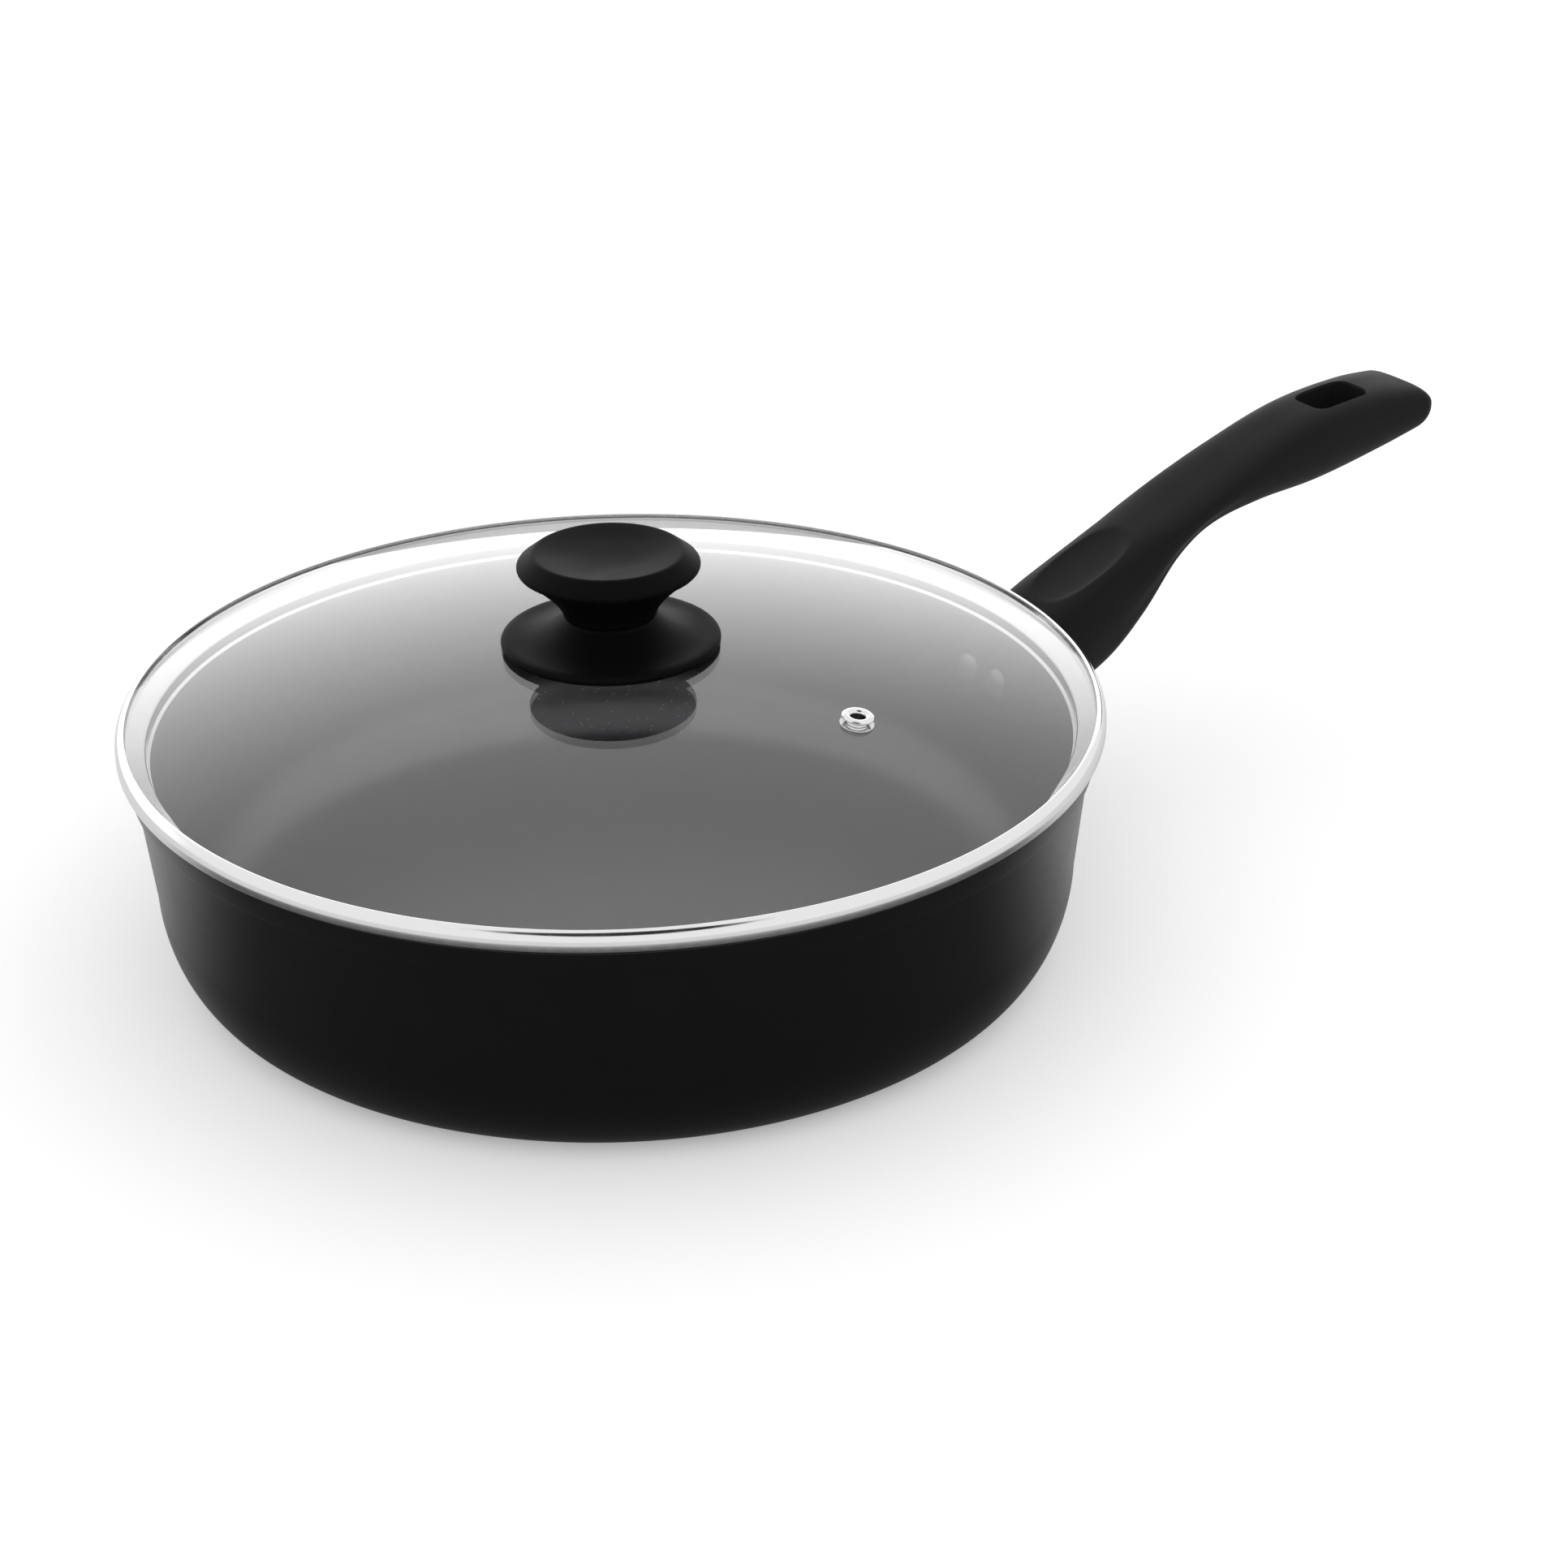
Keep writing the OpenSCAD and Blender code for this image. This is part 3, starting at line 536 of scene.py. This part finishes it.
for node, side in (("bracket_rivet_left", 1), ("bracket_rivet_right", -1)):
    rivet = turned(node + "_dressed", rivet_outline, 48, closed=False)
    rivet.data.transform(at_rivet(side))
    rivet.data.materials.append(rivet_coat_painted_lighter)
    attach(rivet, "pan")
    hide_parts(node)

# %% [markdown]
# ## The glass
#
# The dome is part of a large sphere, radius 555 mm, pressed from a flat disc and tempered. Its edge is ground to
# a small bevel and hides in the steel band. Both faces are modelled, because the second mirror image that the
# lower face gives is what makes a glass lid look like glass.

# %% Glass dome
glass_low, glass_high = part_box("lid_glass")
GLASS_R = glass_high.x / MM
GLASS_TOP = glass_high.z / MM
GLASS_T = 3.5
DOME_R = 555.0
GLASS_TOP += DOME_R - math.sqrt(DOME_R ** 2 - 3.2 ** 2)
DOME_Z = GLASS_TOP - DOME_R
BEVEL = 1.2
GLASS_HOLE = 3.2


def dome(r, shell=0.0):
    """Height of the dome at radius r: the sphere's centre plus the root of its radius squared less r squared."""
    return DOME_Z + np.sqrt((DOME_R - shell) ** 2 - r ** 2)


out = np.linspace(GLASS_HOLE, GLASS_R - BEVEL, 60)
back = np.linspace(GLASS_R - 0.6, GLASS_HOLE, 60)
edge_low = glass_low.z / MM
glass_outline = np.concatenate([np.stack([out, dome(out)], -1),
                                [[GLASS_R - 0.3, dome(GLASS_R - BEVEL) - 0.45], [GLASS_R, dome(GLASS_R - BEVEL) - BEVEL],
                                 [GLASS_R, edge_low + 0.5]],
                                np.stack([back, dome(back, GLASS_T)], -1)])
lid_glass = turned("glass_dome", glass_outline, 320)
VENT_AT, VENT_AZ = 82.6, math.radians(-63.8)
VENT_HOLE = 3.0
at_vent = (Matrix.Translation((0, 0, DOME_Z * MM)) @ Matrix.Rotation(VENT_AZ, 4, "Z")
           @ Matrix.Rotation(math.asin(VENT_AT / DOME_R), 4, "Y") @ Matrix.Translation((0, 0, DOME_R * MM)))
drill = turned("drill", [[0, -12], [VENT_HOLE, -12], [VENT_HOLE, 8], [0, 8]], 64, closed=False)
drill.data.transform(at_vent)
cut(lid_glass, drill)
lid_glass.data.polygons.foreach_set("use_smooth", np.ones(len(lid_glass.data.polygons), bool))
lid_glass.data.set_sharp_from_angle(angle=math.radians(30))
lid_glass.data.materials.clear()
lid_glass.data.materials.append(glass)
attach(lid_glass, "lid")
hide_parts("lid_glass")
print("glass: top at", round(GLASS_TOP, 2), "mm, radius", round(GLASS_R, 2), "mm")

# %% [markdown]
# ## The steel band
#
# A strip of stainless steel is rolled round the glass edge. Outside it is a smooth bead. Below the glass it turns
# in as a sloping leaf, which sits on the pan's lip, then drops as a skirt that ends in a rolled hem. The leaf and
# the skirt show through the glass as bright and dark lines, so the whole section is made.

# %% Steel band
rim_low, rim_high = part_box("lid_rim")
RIM_R = rim_high.x / MM
RIM_TOP = rim_high.z / MM
SHEET = 0.5
SEAT_GAP = 0.32
SKIRT_R = LIP_IN - 3.6
BEAD_W = 2.6
BEAD_H = BEAD_W * 1.42


def leaf(r, up=0.0):
    """Height of the leaf's underside at radius r, which follows the lip's slope, plus up."""
    return PAN_H - (LIP_OUT - r) * SEAT_SLOPE + SEAT_GAP + up


leaf_up = SHEET / math.cos(math.atan(SEAT_SLOPE))
bead_z = RIM_TOP - BEAD_H
hem_z = rim_low.z / MM + 0.7
hem = arc((SKIRT_R - 0.7, hem_z), (0.7, 0.7), 180, 360, 12)
bead = arc((RIM_R - BEAD_W, bead_z), (BEAD_W, BEAD_H), 0, 90, 22)
bead_inside = arc((RIM_R - BEAD_W, bead_z), (BEAD_W - SHEET, BEAD_H - SHEET), 90, 0, 16)
low_edge = eased([[SKIRT_R, hem_z + 1], [SKIRT_R, leaf(SKIRT_R)], [RIM_R - SHEET, leaf(RIM_R - SHEET)],
                  [RIM_R, leaf(RIM_R) + SHEET * 0.6], bead[0]], [0, 0.8, 0.5, 0.6, 0], 6, closed=False)
high_edge = eased([bead_inside[-1], [RIM_R - SHEET, leaf(RIM_R - SHEET, leaf_up)],
                   [SKIRT_R - SHEET, leaf(SKIRT_R - SHEET, leaf_up)], [SKIRT_R - SHEET, hem_z + 0.6]],
                  [0, 0.5, 0.8, 0], 6, closed=False)
rim_outline = np.concatenate([hem, low_edge, bead, [[RIM_R - BEAD_W - 0.2, RIM_TOP - 0.15]], bead_inside,
                              high_edge[1:]])
rim = turned("steel_band", rim_outline, 384, sharp=50)
rim.data.materials.append(stainless)
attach(rim, "lid")
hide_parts("lid_rim")
print("band: radius", round(RIM_R, 2), "mm, from", round(rim_low.z / MM, 2), "to", round(RIM_TOP, 2), "mm")

# %% [markdown]
# ## The steam vent
#
# An eyelet is pressed through a hole in the glass and rolled over a washer below. Its flange is a soft ring with
# a dished middle. It is turned about its own axis, square to the dome.

# %% Vent eyelet and washer
BORE, TUBE, FLANGE, FLANGE_T = 2.1, 2.8, 4.75, 1.1
UNDER = -GLASS_T - 0.24 - FLANGE_T
eyelet_outline = eased([[BORE, UNDER - 0.6], [TUBE + 0.9, UNDER - 0.6], [TUBE + 0.9, UNDER - 0.1], [TUBE, UNDER - 0.1],
                        [TUBE, 0], [FLANGE - 0.3, 0], [FLANGE, FLANGE_T * 0.45], [FLANGE - 0.7, FLANGE_T * 0.9],
                        [FLANGE - 1.6, FLANGE_T], [BORE + 0.5, FLANGE_T * 0.8], [BORE, FLANGE_T * 0.3]], 0.35, 5)
eyelet_outline[:, 1] += 0.12
washer_outline = eased([[TUBE + 0.2, 0], [FLANGE + 0.3, 0], [FLANGE + 0.3, FLANGE_T], [TUBE + 0.2, FLANGE_T]], 0.25, 4)
washer_outline[:, 1] += -GLASS_T - 0.12 - FLANGE_T
for node, outline in (("vent_eyelet", eyelet_outline), ("vent_washer", washer_outline)):
    ring = turned(node + "_dressed", outline, 96, sharp=60)
    ring.data.transform(at_vent)
    ring.data.materials.append(stainless)
    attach(ring, "lid")
    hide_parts(node)

# %% [markdown]
# ## The knob
#
# The knob is two mouldings: a base disc that spreads the load on the glass, with a concave top, and a grip that
# flares from the neck to a rounded rim and a shallow dish. A fine joint shows where they meet.

# %% Knob
base_low, base_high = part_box("knob_base")
grip_low, grip_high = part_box("knob_grip")
BASE_R, GRIP_R = base_high.x / MM, grip_high.x / MM
NECK_R = 13.8
NECK_Z = grip_low.z / MM
CROWN_Z = grip_high.z / MM
EDGE_Z = base_low.z / MM
EDGE_H = 2.6
FLARE_Z = CROWN_Z - 4.4
SCREW_BORE = 2.7

under = np.linspace(SCREW_BORE, BASE_R - 1.2, 20)
t = np.linspace(0, 1, 26)
concave = np.stack([BASE_R - 2.2 - (BASE_R - 2.2 - NECK_R) * t, EDGE_Z + EDGE_H + 0.15
                    + (NECK_Z - EDGE_Z - EDGE_H - 0.75) * t ** 2.4], -1)
base_outline = np.concatenate([np.stack([under, dome(under) + 0.12], -1),
                               arc((BASE_R - 1.2, EDGE_Z + EDGE_H / 2), (1.2, EDGE_H / 2), -80, 80, 14), concave,
                               [[NECK_R - 0.1, NECK_Z - 0.25], [NECK_R - 0.4, NECK_Z - 0.12], [SCREW_BORE, NECK_Z - 0.12]]])
knob_base = turned("knob_base_disc", base_outline, 256, sharp=60)

flare = np.stack([NECK_R + (GRIP_R - 0.9 - NECK_R) * t ** 1.45, NECK_Z + 0.5 + (FLARE_Z - NECK_Z - 1.6) * t], -1)
flare_rim = arc((GRIP_R - 1.5, FLARE_Z), (1.5, 1.5), -50, 50, 12)
DISH_R, DISH_DEEP = 21.7, 2.4
dish = np.stack([DISH_R * (1 - t[1:]), CROWN_Z - DISH_DEEP * (1 - (1 - t[1:]) ** 2.2)], -1)
crown = eased([flare_rim[-1], [DISH_R + 0.3, CROWN_Z - 0.05], dish[3]], [0, 0.9, 0], 9, closed=False)
socket = [[0, NECK_Z + 11.7], [4.62, NECK_Z + 11.7], [4.62, NECK_Z], [NECK_R - 0.5, NECK_Z]]
grip_outline = np.concatenate([socket, flare, flare_rim, crown[1:-1], dish[3:]])
knob_grip = turned("knob_grip_moulding", grip_outline, 256, closed=False, sharp=60)
for piece, node in ((knob_base, "knob_base"), (knob_grip, "knob_grip")):
    piece.data.materials.append(knob_lacquer)
    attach(piece, "lid")
    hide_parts(node)
print("knob: base", round(BASE_R * 2, 1), "mm across, top at", round(CROWN_Z, 1), "mm")

# %% [markdown]
# ## The hidden pieces
#
# The bracket, the screws, the washers, the gasket and the insert keep their own solids. Each gets the finish of
# its real metal or rubber, so the part still looks right when the lid is lifted or seen from below.

# %% Finishes of the carried-over pieces
FINISHES = {"handle_bracket": zinc, "handle_washer": zinc, "handle_screw": zinc, "knob_washer": zinc, "knob_screw": zinc,
            "knob_insert": brass, "knob_gasket": silicone}
for node, material in FINISHES.items():
    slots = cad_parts[node].material_slots
    for slot in slots:
        slot.material = material

# %% [markdown]
# ## The studio
#
# The pan stands on a white sweep in soft, even light, with white on every side of it, so the steel band and the
# glass mirror white. The one dark thing is the gap between the cards above the camera. It draws the thin dark
# line in the band. Black coats mirror the same white, but weakly, so they stay deep except at their edges.

# %% World
FRONT = (-0.498, -0.867)
GAP_UP = math.radians(64)
GAP = (FRONT[0] * math.cos(GAP_UP), FRONT[1] * math.cos(GAP_UP), math.sin(GAP_UP))
GAP_OUTER, GAP_INNER = math.cos(math.radians(23)), math.cos(math.radians(17))
ROOM_LIGHT = 0.9

world = bpy.data.worlds.new("studio")
scene.world = world
world.use_nodes = True
tree = world.node_tree
tree.nodes.clear()
ray = add(tree, "ShaderNodeLightPath")
direction = add(tree, "ShaderNodeTexCoord").outputs["Generated"]
lean = add(tree, "ShaderNodeVectorMath", {1: GAP}, {0: direction}, operation="DOT_PRODUCT").outputs["Value"]
mirrored = add(tree, "ShaderNodeMapRange", {"From Min": GAP_OUTER, "From Max": GAP_INNER, "To Min": 1.0, "To Max": 0.03},
               {"Value": lean}, interpolation_type="SMOOTHSTEP").outputs[0]
lighting = add(tree, "ShaderNodeMix", {2: ROOM_LIGHT}, {0: ray.outputs["Is Glossy Ray"], 3: mirrored}).outputs[0]
straight = add(tree, "ShaderNodeMath", {}, {0: ray.outputs["Is Camera Ray"], 1: ray.outputs["Is Transmission Ray"]},
               operation="MAXIMUM").outputs[0]
level = add(tree, "ShaderNodeMix", {3: 1.0}, {0: straight, 2: lighting}).outputs[0]
glow = add(tree, "ShaderNodeBackground", {"Color": (1, 1, 1, 1)}, {"Strength": level})
add(tree, "ShaderNodeOutputWorld", links={"Surface": glow.outputs[0]})

# %% [markdown]
# The sweep is white paper. A little light of its own, which only the camera and glass see, brings it up to clean
# white where nothing stands near, and the shadow under the pan stays. In front of the pan, a ring of the paper is
# painted dark for mirror rays: painted shade for the pan's own shadow in its reflections, keeping the wall deep.

# %% Floor
PAPER = 0.9
PAPER_LIFT = 0.3
SHADE_RING_SIDE, SHADE_RING_END = -0.03, 0.33
floor = finished_mesh("floor", np.array([[-6, -6, 0], [6, -6, 0], [6, 6, 0], [-6, 6, 0]], float),
                      np.array([[0, 1, 2, 3]]))
floor.data.transform(Matrix.Translation((0, 0, -0.0002)))
sweep = bpy.data.materials.new("white_sweep")
sweep.use_nodes = True
tree = sweep.node_tree
tree.nodes.clear()
ray = add(tree, "ShaderNodeLightPath")
paper = add(tree, "ShaderNodeBsdfDiffuse", {"Color": (PAPER, PAPER, PAPER, 1)})
seen = add(tree, "ShaderNodeMath", {}, {0: ray.outputs["Is Camera Ray"], 1: ray.outputs["Is Transmission Ray"]},
           operation="MAXIMUM").outputs[0]
lift = add(tree, "ShaderNodeMath", {1: PAPER_LIFT}, {0: seen}, operation="MULTIPLY").outputs[0]
lift = add(tree, "ShaderNodeEmission", {"Color": (1, 1, 1, 1)}, {"Strength": lift})
both = add(tree, "ShaderNodeAddShader", links={0: paper.outputs[0], 1: lift.outputs[0]})
place = add(tree, "ShaderNodeTexCoord").outputs["Object"]
# Painted shade: a ring of floor in front of the pan turns dark for mirror rays only, standing in for the pan's own
# shadow in its reflections.
ahead = add(tree, "ShaderNodeVectorMath", {1: (*FRONT, 0)}, {0: place}, operation="DOT_PRODUCT").outputs["Value"]
ahead = add(tree, "ShaderNodeMapRange", {"From Min": SHADE_RING_SIDE, "From Max": SHADE_RING_SIDE + 0.12}, {"Value": ahead},
            interpolation_type="SMOOTHSTEP").outputs[0]
away = add(tree, "ShaderNodeVectorMath", links={0: place}, operation="LENGTH").outputs["Value"]
away = add(tree, "ShaderNodeMapRange", {"From Min": SHADE_RING_END, "From Max": SHADE_RING_END - 0.08}, {"Value": away},
           interpolation_type="SMOOTHSTEP").outputs[0]
painted_shade_ring = add(tree, "ShaderNodeMath", links={0: ahead, 1: away}, operation="MULTIPLY").outputs[0]
painted_shade_ring = add(tree, "ShaderNodeMath", links={0: painted_shade_ring, 1: ray.outputs["Is Glossy Ray"]}, operation="MULTIPLY").outputs[0]
painted_shade_glow = add(tree, "ShaderNodeEmission", {"Color": (1, 1, 1, 1), "Strength": 0.12})
ground = add(tree, "ShaderNodeMixShader", links={0: painted_shade_ring, 1: both.outputs[0], 2: painted_shade_glow.outputs[0]})
add(tree, "ShaderNodeOutputMaterial", links={"Surface": ground.outputs[0]})
floor.data.materials.append(sweep)

# %% [markdown]
# One long softbox stands behind the pan, more to the left than to the right. The glass mirrors it, which turns
# the far side of the lid pale, and it edges the black shell with light. It is brightest low down and fades to
# the white of the room at its top and ends, so no hard edge shows in the glass.

# %% Softbox
BOX_AZIMUTH = math.radians(12)
BOX_FAR = 2.4
BOX_WIDE, BOX_TALL = 8.0, 2.5
BOX_LEVEL = 2.35
FULL_UP = 0.15
along = (math.cos(BOX_AZIMUTH), -math.sin(BOX_AZIMUTH))
behind = (math.sin(BOX_AZIMUTH) * BOX_FAR, math.cos(BOX_AZIMUTH) * BOX_FAR)
corners = [[behind[0] + along[0] * x, behind[1] + along[1] * x, z]
           for x, z in ((-BOX_WIDE / 2, 0), (BOX_WIDE / 2, 0), (BOX_WIDE / 2, BOX_TALL), (-BOX_WIDE / 2, BOX_TALL))]
softbox = finished_mesh("softbox", np.array(corners), np.array([[0, 1, 2, 3]]))
cloth = bpy.data.materials.new("lit_diffusion_cloth")
cloth.use_nodes = True
tree = cloth.node_tree
tree.nodes.clear()
place = add(tree, "ShaderNodeTexCoord").outputs["Object"]
across = add(tree, "ShaderNodeVectorMath", {1: (*along, 0)}, {0: place}, operation="DOT_PRODUCT").outputs["Value"]
across = add(tree, "ShaderNodeMath", links={0: across}, operation="ABSOLUTE").outputs[0]
across = add(tree, "ShaderNodeMapRange", {"From Min": BOX_WIDE / 2, "From Max": BOX_WIDE * 0.15}, {"Value": across},
             interpolation_type="SMOOTHSTEP").outputs[0]
upward = add(tree, "ShaderNodeSeparateXYZ", links={0: place}).outputs[2]
upward = add(tree, "ShaderNodeMapRange", {"From Min": BOX_TALL, "From Max": FULL_UP}, {"Value": upward},
             interpolation_type="SMOOTHERSTEP").outputs[0]
fade = add(tree, "ShaderNodeMath", links={0: across, 1: upward}, operation="MULTIPLY").outputs[0]
level = add(tree, "ShaderNodeMapRange", {"To Min": 1.0, "To Max": BOX_LEVEL}, {"Value": fade}).outputs[0]
glow = add(tree, "ShaderNodeEmission", links={"Strength": level})
add(tree, "ShaderNodeOutputMaterial", links={"Surface": glow.outputs[0]})
softbox.data.materials.append(cloth)
softbox.visible_camera = False
softbox.visible_transmission = False
softbox.visible_diffuse = False
softbox.visible_shadow = False

scene.view_settings.view_transform = "Standard"
